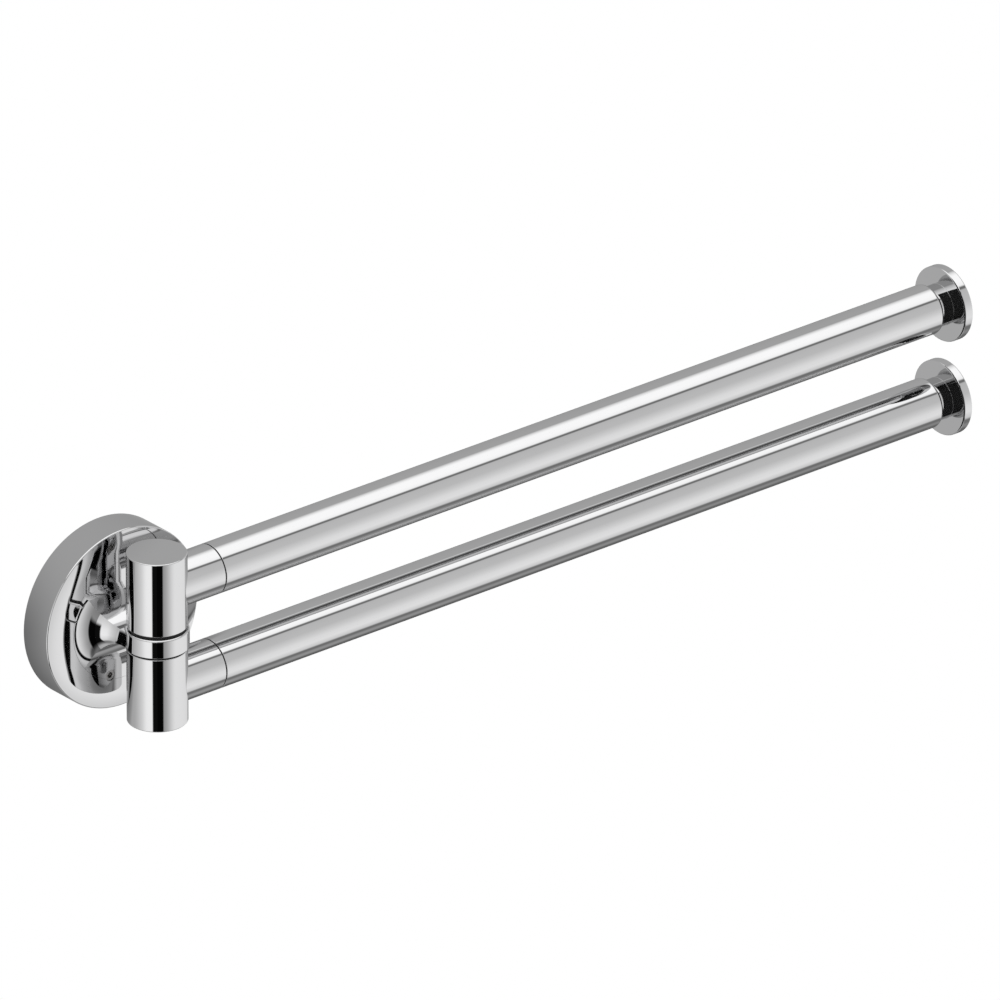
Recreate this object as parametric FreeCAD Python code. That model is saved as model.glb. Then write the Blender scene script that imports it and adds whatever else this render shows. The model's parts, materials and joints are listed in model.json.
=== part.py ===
import FreeCAD, Part
import math
import os

# Double swing arm towel rail for a wall, in millimetres.
# The origin is on the wall, in the middle of the wall plate's back face.
# +Z is up, -Y points out of the wall, and at rest both arms lie along +X, parallel to the wall.

# ---------------------------------------------------------------- driving dimensions

# Rosette, the round cover on the wall
ROSETTE_DIA = 66.0
ROSETTE_DEPTH = 13.2        # wall to the flat of the face
ROSETTE_WALL = 2.2
SHOULDER_WIDTH = 7.0        # outer band of the face that is buffed round
SHOULDER_RADIUS = 34.0
RIM_ROUND = 0.5             # small round where the face meets the side

# Wall plate inside the rosette
PLATE_THICKNESS = 5.0
PLATE_PLAY = 0.2            # radial room between plate and rosette
PLATE_BORE_PLAY = 3.5       # radial room round the bracket screw's head
GROOVE_DEPTH = 1.0          # groove in the plate's edge for the set screw
WALL_HOLE_DIA = 5.0
WALL_HOLE_SPACING = 40.0    # one above the other
COUNTERSINK_DIA = 9.5

# Bracket: round foot let into the rosette's face, trumpet neck with two flats, and ring
NECK_LENGTH = 6.8           # rosette face to ring
NECK_INSET = 0.45           # how far each flat of the neck lies inside the ring's height
FLARE_RADIUS = 11.5         # sweep of the neck out to its foot
FLAT_FLARE_RADIUS = 11.5    # sweep of the two flats
FOOT_SINK = 0.8             # the foot lies this deep in the face
FOOT_EDGE = 0.05            # and its edge stands this proud of it
FOOT_PLAY = 0.05
SPIGOT_DIA = 9.0            # locates the foot in the rosette
SPIGOT_PLAY = 0.1
RING_HEIGHT = 6.8
RING_LIP = 0.6              # how far the ring stands proud of the post
RING_TOP_ROUND = 0.7
RING_BASE_ROUND = 0.2

# Post: two swivel bodies on one pin
POST_DIA = 21.0
BODY_HEIGHT = 27.3
BODY_EDGE = 0.4             # chamfer at the outer ends of the post
BODY_SEAM_EDGE = 0.2        # chamfer at the ends next to the ring
BODY_END_WALL = 3.0         # closed end over the pin's bore
STUB_LENGTH = 23.4          # post axis to the joint with the tube
PIN_DIA = 8.0
PIN_END_PLAY = 1.0
PIN_PRESS = 0.01            # radial interference of pin and ring
RUNNING_CLEARANCE = 0.05    # radial, pin to bush and pin to bore
BUSH_WALL = 2.0
BUSH_LENGTH = 12.5
BUSH_PRESS = 0.01           # radial interference of bush and swivel body

# Friction rings and their grooves in the pin
CORD_DIA = 1.6              # section of the rubber ring
RING_GROOVE_DEPTH = 1.1
RING_GROOVE_PLAY = 0.2      # each side of the rubber
CHAMBER_PLAY = 0.1          # rubber to swivel body
CHAMBER_LENGTH = 3.2

# Screws (threads are plain cylinders of their outer diameter)
THREAD_PLAY = 0.05          # radial room of a screw in its thread
RETAINER_DIA = 4.0
RETAINER_POINT_DIA = 2.8
RETAINER_DEPTH = 0.9        # how far its point reaches into the pin's groove
RETAINER_PLAY = 0.2         # point to groove, on every side
RETAINER_FROM_END = 7.0     # outer end of the body to the screw's axis
SET_SCREW_DIA = 4.0
SOCKET_SINK = 0.3           # how far a grub screw sits below the surface
SOCKET_SHARE = 0.5          # hexagon's width as a share of a grub screw's diameter
SOCKET_DEPTH = 1.5
BRACKET_SCREW_DIA = 5.0
BRACKET_SCREW_LENGTH = 12.0
BRACKET_HEAD_DIA = 8.5
BRACKET_HEAD_HEIGHT = 5.0
BRACKET_SOCKET = 4.0
BRACKET_SOCKET_DEPTH = 2.5
BRACKET_WASHER_DIA = 10.0
BRACKET_WASHER_THICKNESS = 1.0

# Thrust washers between ring and swivel bodies
UPPER_WASHER_THICKNESS = 0.95
LOWER_WASHER_THICKNESS = 0.75
WASHER_INSET = 1.0          # how far a washer stays inside the post's outline
FACE_CLEARANCE = 0.05       # washer to the swivel body that turns on it

# Arms
TUBE_DIA = 18.0
TUBE_WALL = 1.5
TUBE_END = 343.8            # post axis to the far end of the tube
TUBE_END_ROUND = 1.4
JOINT_GAP = 0.5             # fine groove that parts the stub from the tube
JOINT_DEPTH = 0.6
JOINT_EDGE = 0.12           # chamfer of the tube's near end
PLUG_PLAY = 0.05
INNER_PLUG_LENGTH = 13.0
OUTER_PLUG_LENGTH = 12.0
JOINT_STUD_DIA = 8.0
JOINT_STUD_LENGTH = 22.0
END_STUD_DIA = 6.0
END_STUD_LENGTH = 15.0
STUD_EDGE = 0.6
KNOB_NECK_LENGTH = 5.2
KNOB_DIA = 27.2
KNOB_THICKNESS = 3.6
KNOB_EDGE = 0.5

# ---------------------------------------------------------------- sizes that follow

ring_radius = POST_DIA / 2 + RING_LIP
neck_radius = POST_DIA / 2
neck_half_height = RING_HEIGHT / 2 - NECK_INSET
neck_reach = NECK_LENGTH + ring_radius      # rosette face to the post's axis
post_offset = ROSETTE_DEPTH + neck_reach
foot_radius = neck_radius + FLARE_RADIUS
plate_radius = ROSETTE_DIA / 2 - ROSETTE_WALL - PLATE_PLAY
bush_radius = PIN_DIA / 2 + BUSH_WALL
tube_bore_radius = TUBE_DIA / 2 - TUBE_WALL
knob_neck_radius = tube_bore_radius         # it closes the bore
face_inside = ROSETTE_DEPTH - ROSETTE_WALL

CUT_MARGIN = 1.0            # how far a cutting shape runs past what it cuts

V = FreeCAD.Vector
UP = V(0, 0, 1)
OUT = V(0, -1, 0)
ALONG = V(1, 0, 0)
TO_WALL = V(0, 1, 0)
WALL_CENTRE = V(0, 0, 0)
POST_CENTRE = OUT * post_offset


# ---------------------------------------------------------------- shaping

def placed(shape, base, direction):
    """Carry a shape made along +Z at the origin to a base point and a direction."""
    moved = shape.copy()
    moved.Placement = FreeCAD.Placement(base, FreeCAD.Rotation(UP, direction))
    return moved


def turned(start, steps, base, direction):
    """Turn a closed outline round its axis.

    The outline is in (radius, height). A step of two numbers is a line to that point,
    and a step of four is an arc through its first point to its second.
    """
    here = V(start[0], 0, start[1])
    edges = []
    for step in list(steps) + [start]:
        there = V(step[-2], 0, step[-1])
        if len(step) == 4:
            middle = V(step[0], 0, step[1])
            edges.append(Part.Arc(here, middle, there).toShape())
        elif here.distanceToPoint(there) > 1e-6:
            edges.append(Part.LineSegment(here, there).toShape())
        here = there
    face = Part.Face(Part.Wire(edges))
    return placed(face.revolve(V(0, 0, 0), UP, 360), base, direction)


def rod(diameter, start, end, base, direction):
    """Plain cylinder from one height to another along a direction."""
    return Part.makeCylinder(diameter / 2, end - start, base + direction * start, direction)


def round_corner(radius, height, size, outward, upward):
    """Arc that rounds a corner: it runs from the face of the solid to its side."""
    lean = size * (1 - math.sqrt(0.5))
    return (radius - outward * lean, height - upward * lean, radius, height - upward * size)


def hexagon(width, start, end, base, direction):
    """Hexagonal prism, by its width across flats."""
    corner = width / math.sqrt(3)
    turns = [math.radians(60 * k) for k in range(7)]
    points = [V(corner * math.cos(a), corner * math.sin(a), start) for a in turns]
    face = Part.Face(Part.makePolygon(points))
    return placed(face.extrude(UP * (end - start)), base, direction)


def stud(diameter, start, end, base, direction):
    """Threaded stud with both ends chamfered."""
    radius = diameter / 2
    return turned((0, start), [
        (radius - STUD_EDGE, start), (radius, start + STUD_EDGE),
        (radius, end - STUD_EDGE), (radius - STUD_EDGE, end), (0, end),
    ], base, direction)


def grub_screw(diameter, start, shank_end, point_radius, point_end, base, direction):
    """Grub screw with a hexagon socket at its start and a turned point at its end."""
    radius = diameter / 2
    body = turned((0, start), [
        (radius, start), (radius, shank_end), (point_radius, shank_end),
        (point_radius, point_end), (0, point_end),
    ], base, direction)
    width = diameter * SOCKET_SHARE
    return body.cut(hexagon(width, start, start + SOCKET_DEPTH, base, direction))


# ---------------------------------------------------------------- wall end

def make_rosette():
    radius = ROSETTE_DIA / 2
    flat_radius = radius - SHOULDER_WIDTH

    def shoulder_height(r):
        drop = SHOULDER_RADIUS - math.sqrt(SHOULDER_RADIUS ** 2 - (r - flat_radius) ** 2)
        return ROSETTE_DEPTH - drop

    edge_radius = radius - RIM_ROUND
    mid_radius = (flat_radius + edge_radius) / 2
    edge_height = shoulder_height(edge_radius)
    inner = radius - ROSETTE_WALL
    spigot_bore = SPIGOT_DIA / 2 + SPIGOT_PLAY
    recess = foot_radius + FOOT_PLAY
    recess_floor = ROSETTE_DEPTH - FOOT_SINK
    shell = turned((spigot_bore, recess_floor), [
        (recess, recess_floor), (recess, ROSETTE_DEPTH), (flat_radius, ROSETTE_DEPTH),
        (mid_radius, shoulder_height(mid_radius), edge_radius, edge_height),
        round_corner(radius, edge_height, RIM_ROUND, 1, 1),
        (radius, 0), (inner, 0), (inner, face_inside), (spigot_bore, face_inside),
    ], WALL_CENTRE, OUT)
    hole = rod(SET_SCREW_DIA + 2 * THREAD_PLAY, inner - CUT_MARGIN, radius + CUT_MARGIN,
               set_screw_base(), -UP)
    return shell.cut(hole)


def set_screw_base():
    return OUT * (PLATE_THICKNESS / 2)


def make_rosette_set_screw():
    """It comes up from below, its point in the groove round the wall plate."""
    start = ROSETTE_DIA / 2 - SOCKET_SINK
    point_end = plate_radius - GROOVE_DEPTH
    shank_end = plate_radius + PLATE_PLAY / 2
    tip = SET_SCREW_DIA / 2 - GROOVE_DEPTH
    radius = SET_SCREW_DIA / 2 - THREAD_PLAY
    body = turned((0, point_end + THREAD_PLAY), [
        (tip - THREAD_PLAY, point_end + THREAD_PLAY), (radius - PLATE_PLAY, shank_end),
        (radius, shank_end), (radius, start), (0, start),
    ], set_screw_base(), -UP)
    socket = hexagon(SET_SCREW_DIA * SOCKET_SHARE, start - SOCKET_DEPTH, start,
                     set_screw_base(), -UP)
    return body.cut(socket)


def make_wall_plate():
    bore = BRACKET_HEAD_DIA / 2 + PLATE_BORE_PLAY
    middle = PLATE_THICKNESS / 2
    half_groove = SET_SCREW_DIA / 2
    floor = SET_SCREW_DIA / 2 - GROOVE_DEPTH
    plate = turned((bore, 0), [
        (plate_radius, 0), (plate_radius, middle - half_groove),
        (plate_radius - GROOVE_DEPTH, middle - floor),
        (plate_radius - GROOVE_DEPTH, middle + floor),
        (plate_radius, middle + half_groove), (plate_radius, PLATE_THICKNESS),
        (bore, PLATE_THICKNESS),
    ], WALL_CENTRE, OUT)
    sink_depth = (COUNTERSINK_DIA - WALL_HOLE_DIA) / 2
    for side in (1, -1):
        centre = UP * (side * WALL_HOLE_SPACING / 2)
        plate = plate.cut(rod(WALL_HOLE_DIA, -CUT_MARGIN, PLATE_THICKNESS + CUT_MARGIN,
                              centre, OUT))
        sink = Part.makeCone(WALL_HOLE_DIA / 2, COUNTERSINK_DIA / 2, sink_depth)
        plate = plate.cut(placed(sink, centre + OUT * (PLATE_THICKNESS - sink_depth), OUT))
    return plate


def make_trumpet():
    """Round neck that sweeps out to its foot, with the spigot that goes through the rosette."""
    lean = FLARE_RADIUS * math.sqrt(0.5)
    return turned((0, -ROSETTE_WALL), [
        (SPIGOT_DIA / 2, -ROSETTE_WALL), (SPIGOT_DIA / 2, -FOOT_SINK),
        (foot_radius, -FOOT_SINK), (foot_radius, FOOT_EDGE),
        (foot_radius - lean, FOOT_EDGE + FLARE_RADIUS - lean,
         neck_radius, FOOT_EDGE + FLARE_RADIUS),
        (neck_radius, neck_reach), (0, neck_reach),
    ], OUT * ROSETTE_DEPTH, OUT)


def make_milled_side(side):
    """What is milled off the trumpet above or below: a flat that sweeps out to the foot."""
    lean = FLAT_FLARE_RADIUS * math.sqrt(0.5)
    run_out = neck_half_height + FLAT_FLARE_RADIUS
    beyond = foot_radius + CUT_MARGIN

    def at(height, z):
        return OUT * (ROSETTE_DEPTH + height) + UP * (side * z) - ALONG * beyond

    flat_end = at(neck_reach + CUT_MARGIN, neck_half_height)
    flat_start = at(FLAT_FLARE_RADIUS, neck_half_height)
    sweep_middle = at(FLAT_FLARE_RADIUS - lean, run_out - lean)
    sweep_end = at(0, run_out)
    corners = [sweep_end, at(0, beyond), at(neck_reach + CUT_MARGIN, beyond), flat_end,
               flat_start]
    edges = [Part.LineSegment(a, b).toShape() for a, b in zip(corners, corners[1:])]
    edges.append(Part.Arc(flat_start, sweep_middle, sweep_end).toShape())
    return Part.Face(Part.Wire(edges)).extrude(ALONG * (2 * beyond))


def make_pivot_bracket():
    """Ring round the pin, on the neck that stands on the rosette's face."""
    half = RING_HEIGHT / 2
    lean = RING_TOP_ROUND * (1 - math.sqrt(0.5))
    ring = turned((0, -half), [
        (ring_radius - RING_BASE_ROUND, -half),
        round_corner(ring_radius, -half, RING_BASE_ROUND, 1, -1),
        (ring_radius, half - RING_TOP_ROUND),
        (ring_radius - lean, half - lean, ring_radius - RING_TOP_ROUND, half),
        (0, half),
    ], POST_CENTRE, UP)
    neck = make_trumpet()
    for side in (1, -1):
        neck = neck.cut(make_milled_side(side))
    bracket = ring.fuse(neck).removeSplitter()
    pin_bore = rod(PIN_DIA - 2 * PIN_PRESS, -half - CUT_MARGIN, half + CUT_MARGIN,
                   POST_CENTRE, UP)
    screw_hole = rod(BRACKET_SCREW_DIA + 2 * THREAD_PLAY, 0,
                     BRACKET_SCREW_LENGTH, OUT * face_inside, OUT)
    return bracket.cut(pin_bore).cut(screw_hole)


def make_bracket_washer():
    radius = BRACKET_WASHER_DIA / 2
    bore = BRACKET_SCREW_DIA / 2 + PLUG_PLAY
    return turned((bore, 0), [
        (radius, 0), (radius, BRACKET_WASHER_THICKNESS), (bore, BRACKET_WASHER_THICKNESS),
    ], OUT * face_inside, TO_WALL)


def make_bracket_screw():
    """Cap screw from behind the rosette's face into the neck."""
    head_at = face_inside - BRACKET_WASHER_THICKNESS
    radius = BRACKET_SCREW_DIA / 2
    end = BRACKET_SCREW_LENGTH
    screw = turned((0, end), [
        (radius - STUD_EDGE, end), (radius, end - STUD_EDGE), (radius, 0),
        (BRACKET_HEAD_DIA / 2, 0), (BRACKET_HEAD_DIA / 2, -BRACKET_HEAD_HEIGHT),
        (0, -BRACKET_HEAD_HEIGHT),
    ], OUT * head_at, OUT)
    socket = hexagon(BRACKET_SOCKET, -BRACKET_HEAD_HEIGHT,
                     BRACKET_SOCKET_DEPTH - BRACKET_HEAD_HEIGHT, OUT * head_at, OUT)
    return screw.cut(socket)


# ---------------------------------------------------------------- post

def seam(washer_thickness):
    """Height above the ring's middle where a swivel body starts."""
    return RING_HEIGHT / 2 + washer_thickness + FACE_CLEARANCE


def bar_height(washer_thickness):
    return seam(washer_thickness) + BODY_HEIGHT / 2


def pin_end(washer_thickness):
    return seam(washer_thickness) + BODY_HEIGHT - BODY_END_WALL - PIN_END_PLAY


def retainer_height(washer_thickness):
    return seam(washer_thickness) + BODY_HEIGHT - RETAINER_FROM_END


def chamber_start(washer_thickness):
    return seam(washer_thickness) + BUSH_LENGTH


def rubber_height(washer_thickness):
    return chamber_start(washer_thickness) + CHAMBER_LENGTH / 2


def make_pivot_pin():
    """One pin for both bodies, with a rubber ring's groove and a retainer's groove each way."""
    radius = PIN_DIA / 2
    top = pin_end(UPPER_WASHER_THICKNESS)
    bottom = pin_end(LOWER_WASHER_THICKNESS)
    pin = stud(PIN_DIA, -bottom, top, POST_CENTRE, UP)
    rubber_floor = radius - RING_GROOVE_DEPTH
    rubber_half = CORD_DIA / 2 + RING_GROOVE_PLAY
    retainer_floor = radius - RETAINER_DEPTH - RETAINER_PLAY
    retainer_half = RETAINER_POINT_DIA / 2 + RETAINER_PLAY
    for side, washer in ((1, UPPER_WASHER_THICKNESS), (-1, LOWER_WASHER_THICKNESS)):
        for height, half, floor in (
            (rubber_height(washer), rubber_half, rubber_floor),
            (retainer_height(washer), retainer_half, retainer_floor),
        ):
            groove = turned((floor, height - half), [
                (radius + CUT_MARGIN, height - half), (radius + CUT_MARGIN, height + half),
                (floor, height + half),
            ], POST_CENTRE, UP * side)
            pin = pin.cut(groove)
    return pin


def make_thrust_washer(side, thickness):
    bore = PIN_DIA / 2 + RUNNING_CLEARANCE
    radius = POST_DIA / 2 - WASHER_INSET
    start = RING_HEIGHT / 2
    return turned((bore, start), [
        (radius, start), (radius, start + thickness), (bore, start + thickness),
    ], POST_CENTRE, UP * side)


def make_swivel_body(side, washer):
    """Closed cylinder with a short stub, bored from the ring's side for bush and pin."""
    start = seam(washer)
    end = start + BODY_HEIGHT
    radius = POST_DIA / 2
    along = UP * side
    shell = turned((0, start), [
        (radius - BODY_SEAM_EDGE, start), (radius, start + BODY_SEAM_EDGE),
        (radius, end - BODY_EDGE), (radius - BODY_EDGE, end), (0, end),
    ], POST_CENTRE, along)
    bar_base = POST_CENTRE + along * bar_height(washer)
    stub_radius = TUBE_DIA / 2
    stub = turned((0, 0), [
        (stub_radius, 0), (stub_radius, STUB_LENGTH - JOINT_GAP),
        (stub_radius - JOINT_DEPTH, STUB_LENGTH - JOINT_GAP),
        (stub_radius - JOINT_DEPTH, STUB_LENGTH), (0, STUB_LENGTH),
    ], bar_base, ALONG)
    body = shell.fuse(stub).removeSplitter()

    bush_seat = bush_radius - BUSH_PRESS
    chamber_radius = PIN_DIA / 2 - RING_GROOVE_DEPTH + CORD_DIA + CHAMBER_PLAY
    bore = turned((0, start - CUT_MARGIN), [
        (bush_seat, start - CUT_MARGIN), (bush_seat, chamber_start(washer)),
        (chamber_radius, chamber_start(washer)),
        (chamber_radius, chamber_start(washer) + CHAMBER_LENGTH),
        (PIN_DIA / 2 + RUNNING_CLEARANCE, chamber_start(washer) + CHAMBER_LENGTH),
        (PIN_DIA / 2 + RUNNING_CLEARANCE, end - BODY_END_WALL), (0, end - BODY_END_WALL),
    ], POST_CENTRE, along)
    joint_hole = rod(JOINT_STUD_DIA + 2 * THREAD_PLAY, STUB_LENGTH - JOINT_STUD_LENGTH / 2,
                     STUB_LENGTH + CUT_MARGIN, bar_base, ALONG)
    retainer_hole = rod(RETAINER_DIA + 2 * THREAD_PLAY, 0, radius + CUT_MARGIN,
                        POST_CENTRE + along * retainer_height(washer), TO_WALL)
    for cut in (bore, joint_hole, retainer_hole):
        body = body.cut(cut)
    return body


def make_pivot_bush(side, washer):
    """Plastic bush pressed in the swivel body, running on the pin."""
    start = seam(washer)
    bore = PIN_DIA / 2 + RUNNING_CLEARANCE
    return turned((bore, start), [
        (bush_radius, start), (bush_radius, start + BUSH_LENGTH), (bore, start + BUSH_LENGTH),
    ], POST_CENTRE, UP * side)


def make_friction_ring(side, washer):
    """Rubber ring in the pin's groove."""
    centre_radius = PIN_DIA / 2 - RING_GROOVE_DEPTH + CORD_DIA / 2
    centre = POST_CENTRE + UP * (side * rubber_height(washer))
    return Part.makeTorus(centre_radius, CORD_DIA / 2, centre, UP)


def make_retaining_screw(side, washer):
    """Grub screw on the wall side, its point in the pin's groove."""
    start = -(POST_DIA / 2 - SOCKET_SINK)
    shank_end = -(PIN_DIA / 2 + RETAINER_PLAY)
    point_end = -(PIN_DIA / 2 - RETAINER_DEPTH)
    base = POST_CENTRE + UP * (side * retainer_height(washer))
    return grub_screw(RETAINER_DIA, start, shank_end, RETAINER_POINT_DIA / 2, point_end,
                      base, OUT)


# ---------------------------------------------------------------- arms

def make_tube(base):
    """Long tube: a chamfer at the joint with the stub, a round at its far end."""
    radius = TUBE_DIA / 2
    lean = TUBE_END_ROUND * (1 - math.sqrt(0.5))
    return turned((tube_bore_radius, STUB_LENGTH), [
        (radius - JOINT_EDGE, STUB_LENGTH), (radius, STUB_LENGTH + JOINT_EDGE),
        (radius, TUBE_END - TUBE_END_ROUND),
        (radius - lean, TUBE_END - lean, radius - TUBE_END_ROUND, TUBE_END),
        (tube_bore_radius, TUBE_END),
    ], base, ALONG)


def make_plug(start, end, thread_dia, base):
    """Plug brazed in a tube's end, threaded right through."""
    bore = thread_dia / 2 + THREAD_PLAY
    radius = tube_bore_radius - PLUG_PLAY
    return turned((bore, start), [(radius, start), (radius, end), (bore, end)], base, ALONG)


def make_end_knob(base):
    """Round disc on a short neck, with a blind thread for its stud."""
    start = TUBE_END
    disc = start + KNOB_NECK_LENGTH
    end = disc + KNOB_THICKNESS
    radius = KNOB_DIA / 2
    lean = KNOB_EDGE * (1 - math.sqrt(0.5))
    knob = turned((0, start), [
        (knob_neck_radius, start), (knob_neck_radius, disc), (radius - KNOB_EDGE, disc),
        (radius - lean, disc + lean, radius, disc + KNOB_EDGE),
        (radius, end - KNOB_EDGE),
        (radius - lean, end - lean, radius - KNOB_EDGE, end), (0, end),
    ], base, ALONG)
    hole = rod(END_STUD_DIA + 2 * THREAD_PLAY, start - CUT_MARGIN, start + END_STUD_LENGTH / 2,
               base, ALONG)
    return knob.cut(hole)


def arm_pieces(name, side, washer):
    """Every piece of one arm, by its node's name."""
    base = POST_CENTRE + UP * (side * bar_height(washer))
    half_joint = JOINT_STUD_LENGTH / 2
    half_end = END_STUD_LENGTH / 2
    return {
        name + "_swivel_body": make_swivel_body(side, washer),
        name + "_pivot_bush": make_pivot_bush(side, washer),
        name + "_retaining_screw": make_retaining_screw(side, washer),
        name + "_joint_stud": stud(JOINT_STUD_DIA, STUB_LENGTH - half_joint,
                                   STUB_LENGTH + half_joint, base, ALONG),
        name + "_inner_plug": make_plug(STUB_LENGTH, STUB_LENGTH + INNER_PLUG_LENGTH,
                                        JOINT_STUD_DIA, base),
        name + "_tube": make_tube(base),
        name + "_outer_plug": make_plug(TUBE_END - OUTER_PLUG_LENGTH, TUBE_END,
                                        END_STUD_DIA, base),
        name + "_end_stud": stud(END_STUD_DIA, TUBE_END - half_end, TUBE_END + half_end,
                                 base, ALONG),
        name + "_end_knob": make_end_knob(base),
    }


def all_pieces():
    pieces = {
        "wall_plate": make_wall_plate(),
        "rosette": make_rosette(),
        "rosette_set_screw": make_rosette_set_screw(),
        "pivot_bracket": make_pivot_bracket(),
        "bracket_screw": make_bracket_screw(),
        "bracket_washer": make_bracket_washer(),
        "pivot_pin": make_pivot_pin(),
    }
    for name, side, washer in (
        ("upper", 1, UPPER_WASHER_THICKNESS),
        ("lower", -1, LOWER_WASHER_THICKNESS),
    ):
        pieces[name + "_thrust_washer"] = make_thrust_washer(side, washer)
        pieces[name + "_friction_ring"] = make_friction_ring(side, washer)
        pieces.update(arm_pieces(name, side, washer))
    return pieces


os.makedirs("parts", exist_ok=True)
for node, shape in all_pieces().items():
    solids = shape.Solids
    if len(solids) != 1 or not shape.isValid():
        raise RuntimeError("%s is not one valid solid" % node)
    solids[0].exportStep("parts/%s.step" % node)
    box = shape.BoundBox
    print("%-24s volume %9.1f  x %7.2f %7.2f  y %7.2f %7.2f  z %7.2f %7.2f" % (
        node, shape.Volume, box.XMin, box.XMax, box.YMin, box.YMax, box.ZMin, box.ZMax))
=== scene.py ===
import json
import math

import bmesh
import bpy
from mathutils import Matrix, Vector


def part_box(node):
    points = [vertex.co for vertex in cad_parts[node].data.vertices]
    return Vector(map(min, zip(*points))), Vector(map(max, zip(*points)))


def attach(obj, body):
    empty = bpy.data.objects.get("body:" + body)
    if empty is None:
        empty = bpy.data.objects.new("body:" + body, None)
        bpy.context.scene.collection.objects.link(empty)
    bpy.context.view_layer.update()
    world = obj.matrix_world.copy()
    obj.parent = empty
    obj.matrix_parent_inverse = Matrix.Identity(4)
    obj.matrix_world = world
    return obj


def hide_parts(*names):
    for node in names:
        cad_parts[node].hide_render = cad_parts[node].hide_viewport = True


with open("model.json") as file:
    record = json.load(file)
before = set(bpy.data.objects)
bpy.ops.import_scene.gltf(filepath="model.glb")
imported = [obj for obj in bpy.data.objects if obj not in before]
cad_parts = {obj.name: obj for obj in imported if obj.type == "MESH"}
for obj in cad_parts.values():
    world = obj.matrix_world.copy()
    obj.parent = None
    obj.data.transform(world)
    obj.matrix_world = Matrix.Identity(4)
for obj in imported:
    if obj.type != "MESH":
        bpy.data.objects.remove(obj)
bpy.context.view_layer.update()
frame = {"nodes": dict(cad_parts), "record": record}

bl_info = {
    "name": "Swing Arm Towel Rail",
    "version": (1, 0, 0),
    "blender": (4, 5, 0),
    "location": "View3D > Sidebar > Towel Rail",
    "description": "Dresses the packed towel rail in chrome and sets up its studio",
    "category": "Object",
}

MM = 0.001
UP = Vector((0, 0, 1))
OUT = Vector((0, -1, 0))
TO_WALL = Vector((0, 1, 0))
ALONG = Vector((1, 0, 0))
ARMS = {"upper": 1, "lower": -1}    # each arm's side of the bracket, up or down
PLUG_PLAY = 0.05 * MM               # room between a plug and its tube's bore


# ---------------------------------------------------------------- sizes read from the frame

def corner(node, end, axis):
    """One coordinate of a node's lowest (0) or highest (1) corner."""
    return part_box(node)[end][axis]


def middle(node, axis):
    return (corner(node, 0, axis) + corner(node, 1, axis)) / 2


def width(node, axis):
    return corner(node, 1, axis) - corner(node, 0, axis)


post_axis = Vector((middle("pivot_pin", 0), middle("pivot_pin", 1), 0))
post_offset = -post_axis.y
post_radius = width("upper_swivel_body", 1) / 2
pin_radius = width("pivot_pin", 0) / 2
ring_radius = -post_offset - corner("pivot_bracket", 0, 1)
ring_half = corner("upper_thrust_washer", 0, 2)
foot_radius = width("pivot_bracket", 2) / 2
rosette_radius = width("rosette", 2) / 2
rosette_depth = -corner("rosette", 0, 1)
rosette_wall = rosette_depth + corner("bracket_washer", 0, 1)
tube_radius = width("upper_tube", 2) / 2
tube_start = corner("upper_tube", 0, 0)
tube_end = corner("upper_tube", 1, 0)
tube_bore = width("upper_inner_plug", 2) / 2 + PLUG_PLAY
knob_radius = width("upper_end_knob", 2) / 2
knob_end = corner("upper_end_knob", 1, 0)


def bar_axis(name):
    """Point on the post's axis from which an arm's stub and tube run out."""
    return post_axis + UP * middle(name + "_tube", 2)


def bush_bore(name):
    return width(name + "_pivot_bush", 0) / 2


# ---------------------------------------------------------------- settings

def length(name, millimetres, about):
    return bpy.props.FloatProperty(
        name=name, description=about, default=millimetres * MM, min=0, precision=5,
        subtype="DISTANCE", unit="LENGTH")


def angle(name, degrees, about):
    return bpy.props.FloatProperty(
        name=name, description=about, default=math.radians(degrees),
        subtype="ANGLE", unit="ROTATION")


def share(name, value, about):
    return bpy.props.FloatProperty(
        name=name, description=about, default=value, min=0, max=1, subtype="FACTOR")


def colour(name, value, about):
    return bpy.props.FloatVectorProperty(
        name=name, description=about, default=value, size=3, min=0, max=1, subtype="COLOR")


class TowelRailShape(bpy.types.PropertyGroup):
    """Edges and sweeps that the outer sizes of the frame don't give."""
    around: bpy.props.IntProperty(
        name="Facets Around", description="Facets round each turned piece",
        default=256, min=32, max=720)
    shoulder_width: length("Shoulder Width", 7.0, "Band of the rosette's face buffed round")
    shoulder_radius: length("Shoulder Radius", 34.0, "Radius of that band's curve")
    rim_round: length("Rim Round", 0.5, "Round where the rosette's face meets its side")
    foot_sink: length("Foot Sink", 0.8, "How deep the foot lies in the rosette")
    foot_edge: length("Foot Edge", 0.05, "How proud the foot's edge stands")
    foot_play: length("Foot Play", 0.05, "Room round the foot in the rosette")
    spigot_radius: length("Spigot Radius", 4.5, "Radius of the foot's spigot")
    neck_inset: length("Neck Inset", 0.45, "Neck's flats inside the ring's height")
    flat_flare: length("Flat Flare", 11.5, "Radius at which the flats sweep out")
    ring_top_round: length("Ring Top Round", 0.7, "Round of the ring's upper edge")
    ring_base_round: length("Ring Base Round", 0.25, "Round of the ring's lower edge")
    body_edge: length("Body Edge", 0.4, "Round at the post's two ends")
    seam_edge: length("Seam Edge", 0.25, "Round at the ends next to the ring")
    joint_edge: length("Joint Edge", 0.12, "Round each side of the joint line")
    joint_gap: length("Joint Gap", 0.5, "Width of the joint line between stub and tube")
    joint_depth: length("Joint Depth", 0.6, "Depth of the joint line")
    tube_end_round: length("Tube End Round", 1.4, "Round at the tube's far end")
    knob_neck_length: length("Knob Neck Length", 5.2, "Tube's end to the knob's disc")
    knob_edge: length("Knob Edge", 0.5, "Round at the disc's edges")
    screw_hole_radius: length("Screw Hole Radius", 2.05, "Holes of the three grub screws")
    screw_from_end: length("Screw From End", 7.0, "Post's end to the retaining screw")
    set_screw_height: length("Set Screw Height", 2.5, "Wall to the rosette's set screw")


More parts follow.
